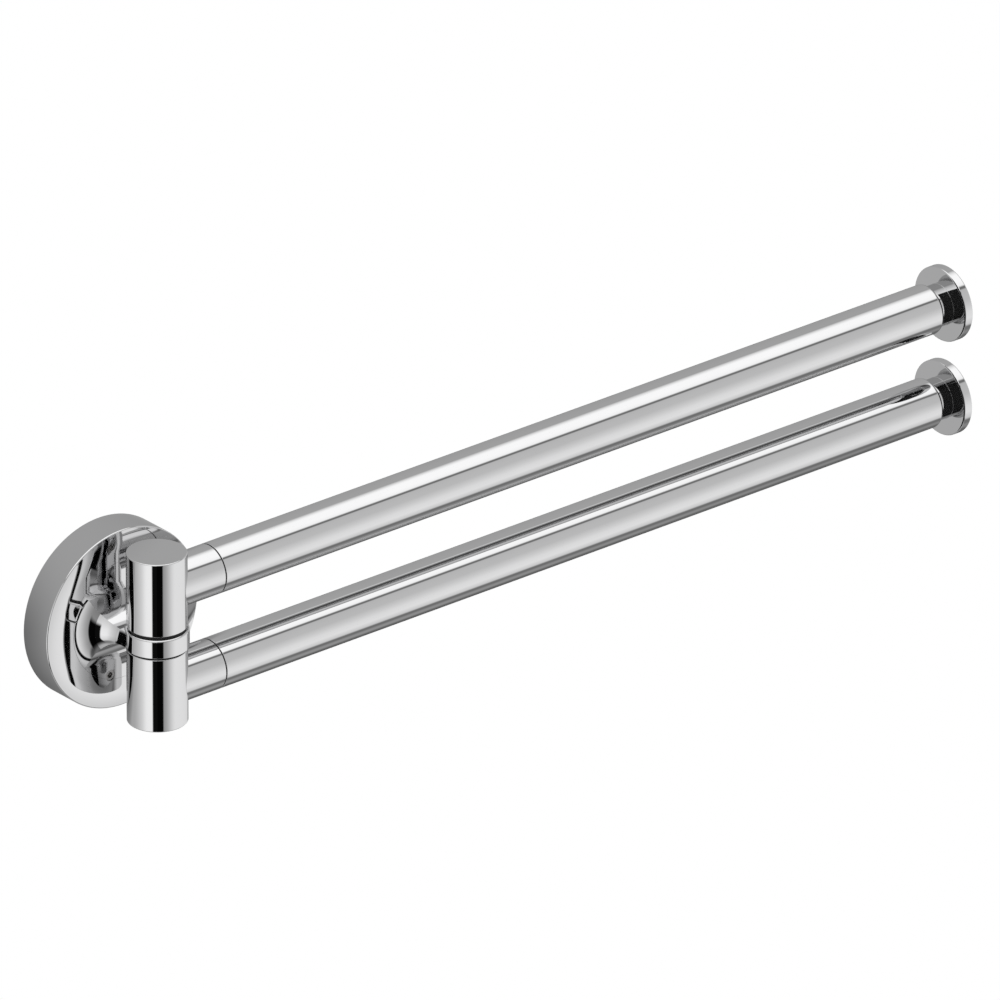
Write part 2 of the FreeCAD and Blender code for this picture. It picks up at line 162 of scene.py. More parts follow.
class TowelRailFinish(bpy.types.PropertyGroup):
    """Colours and polish."""
    chrome: colour("Chrome", (0.66, 0.66, 0.664), "Chrome seen straight on")
    chrome_edge: share("Chrome Edge", 0.8, "Chrome's reflection at a low angle")
    chrome_roughness: share("Chrome Roughness", 0.03, "Polish of the chrome")
    # Painted shade: colour of the faces inside the joint lines
    recess: colour("Recess", (0.05, 0.05, 0.052), "Dull inside of the joint lines")
    zinc: colour("Zinc", (0.50, 0.52, 0.55), "Zinc plating")
    steel: colour("Steel", (0.58, 0.57, 0.56), "Turned stainless steel")
    brass: colour("Brass", (0.66, 0.47, 0.19), "Turned brass")
    acetal: colour("Acetal", (0.80, 0.80, 0.76), "Turned white plastic")
    nylon: colour("Nylon", (0.012, 0.012, 0.013), "Black washers")
    rubber: colour("Rubber", (0.02, 0.02, 0.02), "Friction rings")


class TowelRailStudio(bpy.types.PropertyGroup):
    """Camera and surroundings."""
    azimuth: angle("Azimuth", -39.76, "Camera's direction from the rail, seen from above")
    elevation: angle("Elevation", 25.89, "Camera's height above the level")
    distance: bpy.props.FloatProperty(
        name="Distance", description="Camera to the post", default=10.0, min=1,
        subtype="DISTANCE", unit="LENGTH")
    picture_width: length("Picture Width", 339.1, "What the picture's width takes in")
    post_right: share("Post From Left", 0.1571, "Post's place across the picture")
    post_down: share("Post From Top", 0.6359, "Post's place down the picture")
    gain: bpy.props.FloatProperty(
        name="Gain", description="Light of the surroundings over the tone they show in chrome",
        default=1.44, min=0, subtype="FACTOR")
    floor_drop: length("Floor Drop", 1000.0, "Wall plate's centre down to the floor")
    floor_tone: share("Floor Tone", 0.9, "Paleness of the floor")
    wall_gap: length("Wall Gap", 1.5, "Rosette's back to the wall tone")
    wall_reach: length("Wall Reach", 60.0, "Radius of the wall tone")
    # Painted shadow of the rosette on the wall tone: darkest beside it, lighter at the edge
    # and above
    wall_near: share("Wall Tone Near", 0.41, "Shown tone beside the rosette")
    wall_far: share("Wall Tone Far", 0.66, "Shown tone at the wall tone's edge")
    wall_top: share("Wall Tone Top", 0.62, "Shown tone above the rosette")
    flag_from_end: length("Flag From End", 4.0, "Tubes' ends back to the black flag")
    flag_gap: length("Flag Gap", 5.0, "Arms' axes out to the flag's near edge")
    flag_width: length("Flag Width", 40.0, "Flag's reach out from the arms")
    flag_top: length("Flag Top", 55.0, "Flag's upper edge over the level")
    flag_drop: length("Flag Drop", 60.0, "Flag's lower edge under the level")


def settings(context):
    scene = context.scene
    return scene.towel_rail_shape, scene.towel_rail_finish, scene.towel_rail_studio


# ---------------------------------------------------------------- modelling

SUPPORT = 0.03 * MM             # loop that keeps a round's shading off the face beside it
ARC_STEP = math.radians(9)      # one facet of a small round
FINE_STEP = math.radians(1.5)   # one facet of the neck's long sweeps
SHARP = math.radians(30)        # edges bent further than this stay crisp
FINE_SHARP = math.radians(12)
MERGE = 0.001 * MM
HOLE_FACETS = 48
CAP = 3 * MM                    # metal left between a bush's bore and the post's end


def rounded(corners, arc_step=ARC_STEP):
    """Closed outline with rounded corners, from (radius, height, round) in metres.

    Each round becomes an arc between its two tangent points, and a point just outside
    each of them holds the straight stretch flat in smooth shading.
    """
    outline = []
    for index, (radius, height, size) in enumerate(corners):
        here = Vector((radius, height))
        if size <= 0:
            outline.append(here)
            continue
        before = Vector(corners[index - 1][:2]) - here
        after = Vector(corners[(index + 1) % len(corners)][:2]) - here
        towards, onwards = before.normalized(), after.normalized()
        opening = towards.angle(onwards)
        run = size / math.tan(opening / 2)
        centre = here + (towards + onwards).normalized() * (size / math.sin(opening / 2))
        start, end = here + towards * run, here + onwards * run
        turn = math.pi - opening
        steps = max(2, math.ceil(turn / arc_step))
        sweep = (start - centre).angle_signed(end - centre)
        if before.length > run + SUPPORT:
            outline.append(start + towards * SUPPORT)
        for step in range(steps + 1):
            outline.append(centre + turned_by(start - centre, -sweep * step / steps))
        if after.length > run + SUPPORT:
            outline.append(end + onwards * SUPPORT)
    return outline


def turned_by(vector, by):
    cos, sin = math.cos(by), math.sin(by)
    return Vector((vector.x * cos - vector.y * sin, vector.x * sin + vector.y * cos))


def spun(outline, facets):
    """Turn a closed outline of (radius, height) round the Z axis."""
    shape = bmesh.new()
    points = [shape.verts.new((point[0], 0, point[1])) for point in outline]
    for first, second in zip(points, points[1:] + points[:1]):
        if first.co.x > MERGE or second.co.x > MERGE:
            shape.edges.new((first, second))
    bmesh.ops.spin(
        shape, geom=shape.verts[:] + shape.edges[:], cent=(0, 0, 0), axis=(0, 0, 1),
        dvec=(0, 0, 0), angle=2 * math.pi, steps=facets, use_merge=True,
        use_normal_flip=False, use_duplicate=False)
    bmesh.ops.remove_doubles(shape, verts=shape.verts[:], dist=MERGE)
    bmesh.ops.recalc_face_normals(shape, faces=shape.faces[:])
    return shape


def placed(shape, base, direction):
    """Carry a shape made along +Z at the origin to a base point and a direction."""
    turn = UP.rotation_difference(Vector(direction)).to_matrix().to_4x4()
    bmesh.ops.transform(
        shape, matrix=Matrix.Translation(base) @ turn, verts=shape.verts[:])
    return shape


def rod(radius, start, end, base, direction, facets):
    """Closed cylinder between two heights along a direction."""
    outline = [(0, start), (radius, start), (radius, end), (0, end)]
    return placed(spun(outline, facets), base, direction)


def as_object(shape, name):
    mesh = bpy.data.meshes.new(name)
    shape.to_mesh(mesh)
    shape.free()
    made = bpy.data.objects.new(name, mesh)
    bpy.context.scene.collection.objects.link(made)
    return made


def combined(shape, other, operation):
    """Union, difference or shared part of two closed shapes."""
    target = as_object(shape, "target")
    tool = as_object(other, "tool")
    boolean = target.modifiers.new("combine", "BOOLEAN")
    boolean.object = tool
    boolean.operation = operation
    boolean.solver = "EXACT"
    depsgraph = bpy.context.evaluated_depsgraph_get()
    result = bmesh.new()
    result.from_object(target, depsgraph)
    for used in (target, tool):
        mesh = used.data
        bpy.data.objects.remove(used)
        bpy.data.meshes.remove(mesh)
    bmesh.ops.remove_doubles(result, verts=result.verts[:], dist=MERGE)
    return result


def finished(shape, name, material, body, slot, *nodes, sharp=SHARP, shade_faces=None,
             shade_material=None):
    """Shade a shape and make it a piece that rides on a body and stands for nodes.

    Faces picked out by the last two arguments get a second material: painted shade.
    """
    for face in shape.faces:
        face.smooth = True
        face.material_index = 1 if shade_faces and shade_faces(face) else 0
    for edge in shape.edges:
        if len(edge.link_faces) == 2 and edge.calc_face_angle(0) > sharp:
            edge.smooth = False
    piece = as_object(shape, name)
    piece.data.materials.append(material)
    if shade_material:
        piece.data.materials.append(shade_material)
    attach(piece, body)
    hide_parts(*nodes)
    return piece


# ---------------------------------------------------------------- materials

def new_material(name):
    """Material with its node tree, its shader and its piece's own coordinates."""
    old = bpy.data.materials.get(name)
    if old:
        bpy.data.materials.remove(old)
    material = bpy.data.materials.new(name)
    material.use_nodes = True
    tree = material.node_tree
    shader = tree.nodes["Principled BSDF"]
    place = tree.nodes.new("ShaderNodeTexCoord").outputs["Object"]
    return material, tree, shader, place


def stretched(tree, place, scale):
    """Object coordinates stretched by a scale along each axis."""
    mapping = tree.nodes.new("ShaderNodeMapping")
    mapping.inputs["Scale"].default_value = scale
    tree.links.new(place, mapping.inputs["Vector"])
    return mapping.outputs["Vector"]


def noise(tree, place, scale, detail, roughness=0.5):
    texture = tree.nodes.new("ShaderNodeTexNoise")
    texture.inputs["Scale"].default_value = scale
    texture.inputs["Detail"].default_value = detail
    texture.inputs["Roughness"].default_value = roughness
    tree.links.new(place, texture.inputs["Vector"])
    return texture.outputs["Fac"]


def spread(tree, value, low, high, from_low=0.3, from_high=0.7):
    """Carry a noise value to a range."""
    node = tree.nodes.new("ShaderNodeMapRange")
    node.inputs["From Min"].default_value = from_low
    node.inputs["From Max"].default_value = from_high
    node.inputs["To Min"].default_value = low
    node.inputs["To Max"].default_value = high
    tree.links.new(value, node.inputs["Value"])
    return node.outputs["Result"]


def toned(tree, value, dark, light):
    """Colour between two tones by a value."""
    ramp = tree.nodes.new("ShaderNodeMix")
    ramp.data_type = "RGBA"
    ramp.inputs["A"].default_value = (*dark, 1)
    ramp.inputs["B"].default_value = (*light, 1)
    tree.links.new(value, ramp.inputs["Factor"])
    return ramp.outputs["Result"]


def bumped(tree, shader, height, depth, strength):
    bump = tree.nodes.new("ShaderNodeBump")
    bump.inputs["Strength"].default_value = strength
    bump.inputs["Distance"].default_value = depth
    tree.links.new(height, bump.inputs["Height"])
    tree.links.new(bump.outputs["Normal"], shader.inputs["Normal"])


def darker(tone, by):
    return tuple(channel * by for channel in tone)


def chrome_material(finish):
    """Bright plating: faint haze and wiping marks in its polish, and a very slight swell."""
    material, tree, shader, place = new_material("chrome_plating")
    shader.inputs["Metallic"].default_value = 1
    shader.inputs["Specular Tint"].default_value = (*(finish.chrome_edge,) * 3, 1)
    haze = noise(tree, place, scale=60, detail=3)
    tone = toned(tree, haze, darker(finish.chrome, 0.97), finish.chrome)
    tree.links.new(tone, shader.inputs["Base Color"])
    wiped = noise(tree, stretched(tree, place, (300, 900, 900)), scale=1, detail=4,
                  roughness=0.6)
    polish = finish.chrome_roughness
    tree.links.new(spread(tree, wiped, polish * 0.7, polish * 1.5),
                   shader.inputs["Roughness"])
    swell = noise(tree, place, scale=90, detail=1)
    bumped(tree, shader, swell, depth=0.002 * MM, strength=0.5)
    return material


def zinc_material(finish):
    """Zinc plating: cloudy grey with fine rolling marks."""
    material, tree, shader, place = new_material("zinc_plated_steel")
    shader.inputs["Metallic"].default_value = 1
    cloud = noise(tree, place, scale=180, detail=5, roughness=0.6)
    tone = toned(tree, spread(tree, cloud, 0, 1), darker(finish.zinc, 0.78), finish.zinc)
    tree.links.new(tone, shader.inputs["Base Color"])
    grain = noise(tree, stretched(tree, place, (60, 2500, 2500)), scale=1, detail=3)
    tree.links.new(spread(tree, grain, 0.25, 0.45), shader.inputs["Roughness"])
    bumped(tree, shader, grain, depth=0.02 * MM, strength=0.3)
    return material


def turned_material(name, tone, roughness):
    """Turned metal: fine tool marks round the piece and a little variation in its tone."""
    material, tree, shader, place = new_material(name)
    shader.inputs["Metallic"].default_value = 1
    cloud = noise(tree, place, scale=240, detail=4)
    tree.links.new(toned(tree, spread(tree, cloud, 0, 1), darker(tone, 0.85), tone),
                   shader.inputs["Base Color"])
    marks = noise(tree, stretched(tree, place, (2200, 400, 2200)), scale=1, detail=2)
    tree.links.new(spread(tree, marks, *roughness), shader.inputs["Roughness"])
    bumped(tree, shader, marks, depth=0.01 * MM, strength=0.25)
    return material


def plastic_material(name, tone, roughness, grain_scale, grain_depth):
    """Plastic or rubber: slight mottling, a fine grain and soft gloss."""
    material, tree, shader, place = new_material(name)
    mottle = noise(tree, place, scale=300, detail=3)
    tree.links.new(toned(tree, spread(tree, mottle, 0, 1), darker(tone, 0.8), tone),
                   shader.inputs["Base Color"])
    grain = noise(tree, place, scale=grain_scale, detail=4, roughness=0.6)
    tree.links.new(spread(tree, grain, *roughness), shader.inputs["Roughness"])
    bumped(tree, shader, grain, depth=grain_depth, strength=0.4)
    return material


def joint_shade_material(finish):
    """Painted shade inside a fine joint line: a dark, dull colour standing in for the shade
    there.
    """
    material, tree, shader, place = new_material("painted_joint_shade")
    shader.inputs["Metallic"].default_value = 0.4
    cloud = noise(tree, place, scale=900, detail=3)
    tone = toned(tree, spread(tree, cloud, 0, 1), darker(finish.recess, 0.6), finish.recess)
    tree.links.new(tone, shader.inputs["Base Color"])
    tree.links.new(spread(tree, cloud, 0.5, 0.7), shader.inputs["Roughness"])
    return material


def recess(context):
    """The one painted-shade material for the joint lines, made when a piece first needs it."""
    return bpy.data.materials.get("painted_joint_shade") or joint_shade_material(settings(context)[1])


def chrome(context):
    """The one chrome material, made when a piece first needs it."""
    found = bpy.data.materials.get("chrome_plating")
    return found or chrome_material(settings(context)[1])


# ---------------------------------------------------------------- pieces

class TOWELRAIL_OT_rosette(bpy.types.Operator):
    """Turn the round cover on the wall, with its buffed shoulder and set screw hole."""
    bl_idname = "towel_rail.rosette"
    bl_label = "Rosette"

    def execute(self, context):
        shape = settings(context)[0]
        flat_radius = rosette_radius - shape.shoulder_width
        spigot_bore = shape.spigot_radius + 2 * shape.foot_play
        recess = foot_radius + shape.foot_play
        recess_floor = rosette_depth - shape.foot_sink
        inner = rosette_radius - rosette_wall
        inside = rosette_depth - rosette_wall
        outline = [Vector((spigot_bore, recess_floor)), Vector((recess, recess_floor)),
                   Vector((recess, rosette_depth)), Vector((flat_radius, rosette_depth))]
        outline += shoulder(shape, flat_radius)
        outline += [Vector((rosette_radius, 0)), Vector((inner, 0)),
                    Vector((inner, inside)), Vector((spigot_bore, inside))]
        turned = placed(spun(outline, shape.around * 2), Vector(), OUT)
        hole = rod(shape.screw_hole_radius, inner - MM, rosette_radius + MM,
                   OUT * shape.set_screw_height, -UP, HOLE_FACETS)
        cover = combined(turned, hole, "DIFFERENCE")
        finished(cover, "rosette_cover", chrome(context), "root", "polished_chrome",
                 "rosette")
        return {"FINISHED"}


def shoulder(shape, flat_radius):
    """Points of the rosette's buffed shoulder and of the small round at its rim."""
    curve, rim = shape.shoulder_radius, shape.rim_round
    edge = rosette_radius - rim
    curve_run, curve_steps, rim_steps = edge - flat_radius, 24, 8
    points = []
    for step in range(1, curve_steps + 1):
        across = curve_run * step / curve_steps
        drop = curve - math.sqrt(curve ** 2 - across ** 2)
        points.append(Vector((flat_radius + across, rosette_depth - drop)))
    top = points[-1].y
    lean = math.atan2(curve_run, math.sqrt(curve ** 2 - curve_run ** 2))
    upright = math.pi / 2 - lean
    for step in range(1, rim_steps + 1):
        turn = upright - upright * step / rim_steps
        points.append(Vector((edge + rim * math.cos(turn),
                              top - rim * math.cos(lean) + rim * math.sin(turn))))
    points.append(points[-1] - Vector((0, SUPPORT)))
    return points


class TOWELRAIL_OT_bracket(bpy.types.Operator):
    """Shape the ring round the pin on its trumpet neck with two flats."""
    bl_idname = "towel_rail.bracket"
    bl_label = "Pivot Bracket"

    def execute(self, context):
        shape = settings(context)[0]
        outline = rounded([
            (pin_radius, -ring_half, 0), (ring_radius, -ring_half, shape.ring_base_round),
            (ring_radius, ring_half, shape.ring_top_round), (pin_radius, ring_half, 0)])
        ring = placed(spun(outline, shape.around), post_axis, UP)
        bore = rod(pin_radius, -ring_half - MM, ring_half + MM, post_axis, UP, shape.around)
        neck = combined(neck_shape(shape), bore, "DIFFERENCE")
        bracket = combined(ring, neck, "UNION")
        finished(bracket, "bracket_casting", chrome(context), "root", "polished_chrome",
                 "pivot_bracket", sharp=FINE_SHARP)
        return {"FINISHED"}


def neck_shape(shape):
    """Trumpet turned from the foot to the neck, then milled level above and below."""
    edge, sink = shape.foot_edge, shape.foot_sink
    half = ring_half - shape.neck_inset
    reach = post_offset - rosette_depth
    trumpet = rounded([
        (0, -sink, 0), (foot_radius, -sink, 0), (foot_radius, edge, 0),
        (post_radius, edge, foot_radius - post_radius), (post_radius, reach, 0),
        (0, reach, 0)], FINE_STEP)
    outside = foot_radius + MM
    milled = rounded([
        (half, reach + MM, 0), (half, 0, shape.flat_flare), (outside, 0, 0),
        (outside, -sink - MM, 0), (-outside, -sink - MM, 0), (-outside, 0, 0),
        (-half, 0, shape.flat_flare), (-half, reach + MM, 0)], FINE_STEP)
    face = OUT * rosette_depth
    turned = placed(spun(trumpet, shape.around), face, OUT)
    kept = bmesh.new()
    corners = [kept.verts.new(face + OUT * point.y + UP * point.x - ALONG * outside)
               for point in milled]
    kept.faces.new(corners)
    side = bmesh.ops.extrude_face_region(kept, geom=kept.faces[:])["geom"]
    moved = [part for part in side if isinstance(part, bmesh.types.BMVert)]
    bmesh.ops.translate(kept, verts=moved, vec=ALONG * 2 * outside)
    bmesh.ops.remove_doubles(kept, verts=kept.verts[:], dist=MERGE)
    bmesh.ops.recalc_face_normals(kept, faces=kept.faces[:])
    return combined(turned, kept, "INTERSECT")


class TOWELRAIL_OT_swivel_bodies(bpy.types.Operator):
    """Shape the two halves of the post, each with its stub and retaining screw hole."""
    bl_idname = "towel_rail.swivel_bodies"
    bl_label = "Swivel Bodies"

    def execute(self, context):
        shape = settings(context)[0]
        for name, side in ARMS.items():
            node = name + "_swivel_body"
            near, far = sorted(abs(corner(node, end, 2)) for end in (0, 1))
            outline = rounded([
                (0, near, 0), (post_radius, near, shape.seam_edge),
                (post_radius, far, shape.body_edge), (0, far, 0)])
            post = placed(spun(outline, shape.around), post_axis, UP * side)
            bar = bar_axis(name)
            shelf = tube_radius - shape.joint_depth
            stub_end = tube_start - shape.joint_gap
            stub_outline = rounded([
                (0, 0, 0), (tube_radius, 0, 0), (tube_radius, stub_end, shape.joint_edge),
                (shelf, stub_end, 0), (shelf, tube_start, 0), (0, tube_start, 0)])
            stub = placed(spun(stub_outline, shape.around), bar, ALONG)
            body = combined(post, stub, "UNION")
            bore = rod(bush_bore(name), near - MM, far - CAP, post_axis, UP * side,
                       shape.around)
            body = combined(body, bore, "DIFFERENCE")
            hole_height = side * (far - shape.screw_from_end)
            hole = rod(shape.screw_hole_radius, pin_radius, post_radius + MM,
                       post_axis + UP * hole_height, TO_WALL, HOLE_FACETS)
            body = combined(body, hole, "DIFFERENCE")
            # The faces down in the joint line get the painted shade.
            finished(body, name + "_post_half", chrome(context), name + "_arm",
                     "polished_chrome", node, shade_faces=lambda face: in_joint(face, bar, shape),
                     shade_material=recess(context))
        return {"FINISHED"}


def in_joint(face, bar, shape):
    """Whether a face lies down in the joint line, under its rounded edges."""
    slack, edge = 0.01 * MM, 0.15 * MM
    spot = face.calc_center_median()
    out = math.hypot(spot.y - bar.y, spot.z - bar.z)
    return (spot.x > tube_start - shape.joint_gap - slack
            and tube_bore < out < tube_radius - edge)


class TOWELRAIL_OT_tubes(bpy.types.Operator):
    """Turn the two long tubes, edged at the joint and well rounded at the far end."""
    bl_idname = "towel_rail.tubes"
    bl_label = "Tubes"

    def execute(self, context):
        shape = settings(context)[0]
        for name in ARMS:
            outline = rounded([
                (tube_bore, tube_start, 0), (tube_radius, tube_start, shape.joint_edge),
                (tube_radius, tube_end, shape.tube_end_round), (tube_bore, tube_end, 0)])
            tube = placed(spun(outline, shape.around), bar_axis(name), ALONG)
            finished(tube, name + "_arm_tube", chrome(context), name + "_arm",
                     "polished_chrome", name + "_tube")
        return {"FINISHED"}


class TOWELRAIL_OT_end_knobs(bpy.types.Operator):
    """Turn the round discs on their short necks at the ends of the arms."""
    bl_idname = "towel_rail.end_knobs"
    bl_label = "End Knobs"

    def execute(self, context):
        shape = settings(context)[0]
        neck = tube_bore
        disc = tube_end + shape.knob_neck_length
        for name in ARMS:
            outline = rounded([
                (0, tube_end, 0), (neck, tube_end, 0), (neck, disc, shape.joint_edge),
                (knob_radius, disc, shape.knob_edge), (knob_radius, knob_end, shape.knob_edge),
                (0, knob_end, 0)])
            knob = placed(spun(outline, shape.around), bar_axis(name), ALONG)
            finished(knob, name + "_end_disc", chrome(context), name + "_arm",
                     "polished_chrome", name + "_end_knob")
        return {"FINISHED"}


class TOWELRAIL_OT_inner_pieces(bpy.types.Operator):
    """Give each inner piece of the frame the finish of its material slot."""
    bl_idname = "towel_rail.inner_pieces"
    bl_label = "Inner Pieces"

    def execute(self, context):
        finish = settings(context)[1]
        by_slot = {
            "polished_chrome": chrome(context),
            "zinc_plated_steel": zinc_material(finish),
            "stainless_steel": turned_material("stainless_steel", finish.steel, (0.18, 0.32)),
            "brass": turned_material("brass", finish.brass, (0.2, 0.36)),
            "white_acetal": plastic_material(
                "white_acetal", finish.acetal, (0.35, 0.5), 900, 0.01 * MM),
            "black_nylon": plastic_material(
                "black_nylon", finish.nylon, (0.4, 0.6), 1400, 0.02 * MM),
            "black_rubber": plastic_material(
                "black_rubber", finish.rubber, (0.65, 0.85), 2200, 0.03 * MM),
        }
        for row in frame["record"]["subparts"]:
            piece = frame["nodes"][row["node"]]
            piece.data.materials.clear()
            piece.data.materials.append(by_slot[row["material_slot"]])
        return {"FINISHED"}


# ---------------------------------------------------------------- studio

WHITE = 255
FLOOR_HALF = 30             # metres from the floor's middle to its edges
TOPWARD = (-0.1, 0.95)      # share of the way up over which the wall's top tone takes over
WALL_FADE = (0.78, 0.98)    # shares of the wall tone's radius over which it fades
SENSOR_WIDTH = 36
VIEW_END = 100

# Parts of the surroundings, each fading between two angles in degrees. Bearings count from
# straight out of the wall, positive towards the arms' ends, and heights from the level.
BACK_LEFT, BACK_RIGHT = (-142, -70), (100, 135)
GLOW_SIDES, GLOW_SOFT, GLOW_LIGHT = (-90, -50), 12, 0.13
SHADE_LEFT, SHADE_RIGHT, SHADE_TOP, SHADE_DEPTH = (-40, -38), (-20, 35), (10, 35), 0.62
GAP_LEFT, GAP_RIGHT, GAP_TOP, GAP_FOOT = (-59.5, -54.5), (-19, -14), (-12, -3), (-54, -46)
GAP_LEAN, GAP_LEAN_BY, GAP_DEPTH = (-62, -36), 30.0, 0.995

# Tone of the surroundings by their height above the level in degrees, as shown: 0 to 255.
FRONT_TONES = ((-90, 168), (-57, 165), (-52, 112), (-48, 112), (-43.5, 205), (-30, 228),
               (-15, 223), (0, 206), (15, 189), (27, 187), (38, 184), (40.5, 108), (43.5, 108),
               (46.5, 246), (53, 255), (90, 250))
BACK_LEFT_TONES = ((-90, 150), (-60, 150), (-45, 160), (-27, 168), (0, 168), (38, 164),
                   (46, 170), (54, 225), (62, 250), (90, 250))
BACK_RIGHT_TONES = ((-90, 150), (-62, 150), (-53, 110), (-46, 72), (-23, 72), (-13, 150),
                    (0, 165), (38, 164), (46, 170), (54, 225), (62, 250), (90, 250))


def light_of(tone):
    """Light that a shown tone from 0 to 255 stands for, by the screen's usual curve."""
    share_shown = tone / WHITE
    if share_shown <= 0.04045:
        return share_shown / 12.92
    return ((share_shown + 0.055) / 1.055) ** 2.4


class NodeSums:
    """Sums done by a tree's nodes. A value is a number or another node's output."""

    def __init__(self, tree):
        self.tree = tree

    def feed(self, node, socket, value):
        if isinstance(value, (int, float)):
            node.inputs[socket].default_value = value
        else:
            self.tree.links.new(value, node.inputs[socket])

    def math(self, operation, first, second=0.0):
        node = self.tree.nodes.new("ShaderNodeMath")
        node.operation = operation
        self.feed(node, 0, first)
        self.feed(node, 1, second)
        return node.outputs[0]

    def product(self, first, *others):
        for other in others:
            first = self.math("MULTIPLY", first, other)
        return first

    def rest(self, value):
        """What a share leaves of the whole."""
        return self.math("SUBTRACT", 1.0, value)

    def parts(self, vector):
        """A vector's X, Y and Z."""
        node = self.tree.nodes.new("ShaderNodeSeparateXYZ")
        self.feed(node, 0, vector)
        return node.outputs

    def step(self, value, low, high):
        """Smooth step from 0 to 1."""
        node = self.tree.nodes.new("ShaderNodeMapRange")
        node.interpolation_type = "SMOOTHSTEP"
        self.feed(node, "Value", value)
        self.feed(node, "From Min", low)
        self.feed(node, "From Max", high)
        return node.outputs["Result"]

    def fall(self, value, low, high):
        """Smooth step from 1 to 0."""
        return self.rest(self.step(value, low, high))

    def band(self, value, low, high, soft):
        """1 between two values and 0 outside them, with soft sides."""
        return self.product(self.step(value, low - soft, low + soft),
                            self.fall(value, high - soft, high + soft))

    def curve(self, value, tones):
        """Light along straight stretches between points of (degrees, tone)."""
        node = self.tree.nodes.new("ShaderNodeFloatCurve")
        line = node.mapping.curves[0]
        while len(line.points) > 2:
            line.points.remove(line.points[1])
        first, last = tones[0][0], tones[-1][0]
        places = [((at - first) / (last - first), light_of(tone)) for at, tone in tones]
        line.points[0].location = places[0]
        line.points[1].location = places[-1]
        for place in places[1:-1]:
            line.points.new(*place)
        for point in line.points:
            point.handle_type = "VECTOR"
        node.mapping.update()
        share_along = self.math("DIVIDE", self.math("SUBTRACT", value, float(first)),
                                float(last - first))
        self.feed(node, "Value", share_along)
        return node.outputs["Value"]


class TOWELRAIL_OT_studio(bpy.types.Operator):
    """Set up the pale floor, the soft surroundings and the camera."""
    bl_idname = "towel_rail.studio"
    bl_label = "Studio"

    def execute(self, context):
        studio = settings(context)[2]
        scene = context.scene
        scene.view_settings.view_transform = "Standard"
        lay_floor(studio)
        tone_wall(studio)
        hang_flag(studio)
        light_studio(scene, studio)
        aim_camera(scene, studio)
        return {"FINISHED"}


def mixed(tree, by, first, second):
    """Two shaders mixed by a value."""
    mix = tree.nodes.new("ShaderNodeMixShader")
    for socket, source in zip(mix.inputs, (by, first, second)):
        tree.links.new(source, socket)
    return mix.outputs[0]


def one_sided(tree, surface):
    """A surface that is clear from behind."""
    clear = tree.nodes.new("ShaderNodeBsdfTransparent").outputs[0]
    behind = tree.nodes.new("ShaderNodeNewGeometry").outputs["Backfacing"]
    return mixed(tree, behind, surface, clear)


def show(tree, surface):
    """Make a shader the one that the material shows."""
    tree.links.new(surface, tree.nodes["Material Output"].inputs["Surface"])


def only_mirrored(piece):
    """Let a piece of the studio be seen in the chrome and nowhere else."""
    piece.visible_camera = False
    piece.visible_diffuse = False
    piece.visible_shadow = False


def lay_floor(studio):
    """Large pale floor, white to the camera, and open from below."""
    shape = bmesh.new()
    bmesh.ops.create_grid(shape, x_segments=1, y_segments=1, size=FLOOR_HALF)
    bmesh.ops.translate(shape, verts=shape.verts[:], vec=-UP * studio.floor_drop)
    floor = as_object(shape, "studio_floor")
    material, tree, shader, place = new_material("studio_floor")
    shader.inputs["Roughness"].default_value = 0.9
    mottle = spread(tree, noise(tree, place, scale=0.8, detail=2), 0.98, 1)
    tone = (studio.floor_tone,) * 3
    tree.links.new(toned(tree, mottle, darker(tone, 0.98), tone), shader.inputs["Base Color"])
    white = tree.nodes.new("ShaderNodeEmission").outputs[0]
    seen = tree.nodes.new("ShaderNodeLightPath").outputs["Is Camera Ray"]
    show(tree, one_sided(tree, mixed(tree, seen, shader.outputs[0], white)))
    floor.data.materials.append(material)
    floor.visible_glossy = False


def tone_wall(studio):
    """Glowing grey card round the rosette, painted as a wall close behind with the rosette's
    shadow on it: darker beside the rosette, lighter outwards and above. Only its side mirrors
    it.
    """
    shape = bmesh.new()
    bmesh.ops.create_circle(shape, cap_ends=True, segments=64, radius=studio.wall_reach)
    placed(shape, TO_WALL * studio.wall_gap, OUT)
    wall = as_object(shape, "studio_wall_tone")
    material, tree, shader, place = new_material("studio_wall_tone")
    sums = NodeSums(tree)
    x, _, z = sums.parts(place)
    out = sums.math("SQRT", sums.math("ADD", sums.product(x, x), sums.product(z, z)))
    # Painted shadow: darker next to the rosette, lighter outwards and towards the top.
    near, far, high = (light_of(tone * WHITE) for tone in
                       (studio.wall_near, studio.wall_far, studio.wall_top))
    low = spread(tree, out, near, far, rosette_radius, studio.wall_reach)
    topward = sums.step(sums.math("DIVIDE", z, out), *TOPWARD)
    tone = sums.math("ADD", sums.product(topward, high),
                     sums.product(sums.rest(topward), low))
    glow = tree.nodes.new("ShaderNodeEmission")
    tree.links.new(tone, glow.inputs["Color"])
    glow.inputs["Strength"].default_value = studio.gain
    fade = sums.step(out, *(part * studio.wall_reach for part in WALL_FADE))
    clear = tree.nodes.new("ShaderNodeBsdfTransparent").outputs[0]
    show(tree, mixed(tree, fade, glow.outputs[0], clear))
    wall.data.materials.append(material)
    only_mirrored(wall)


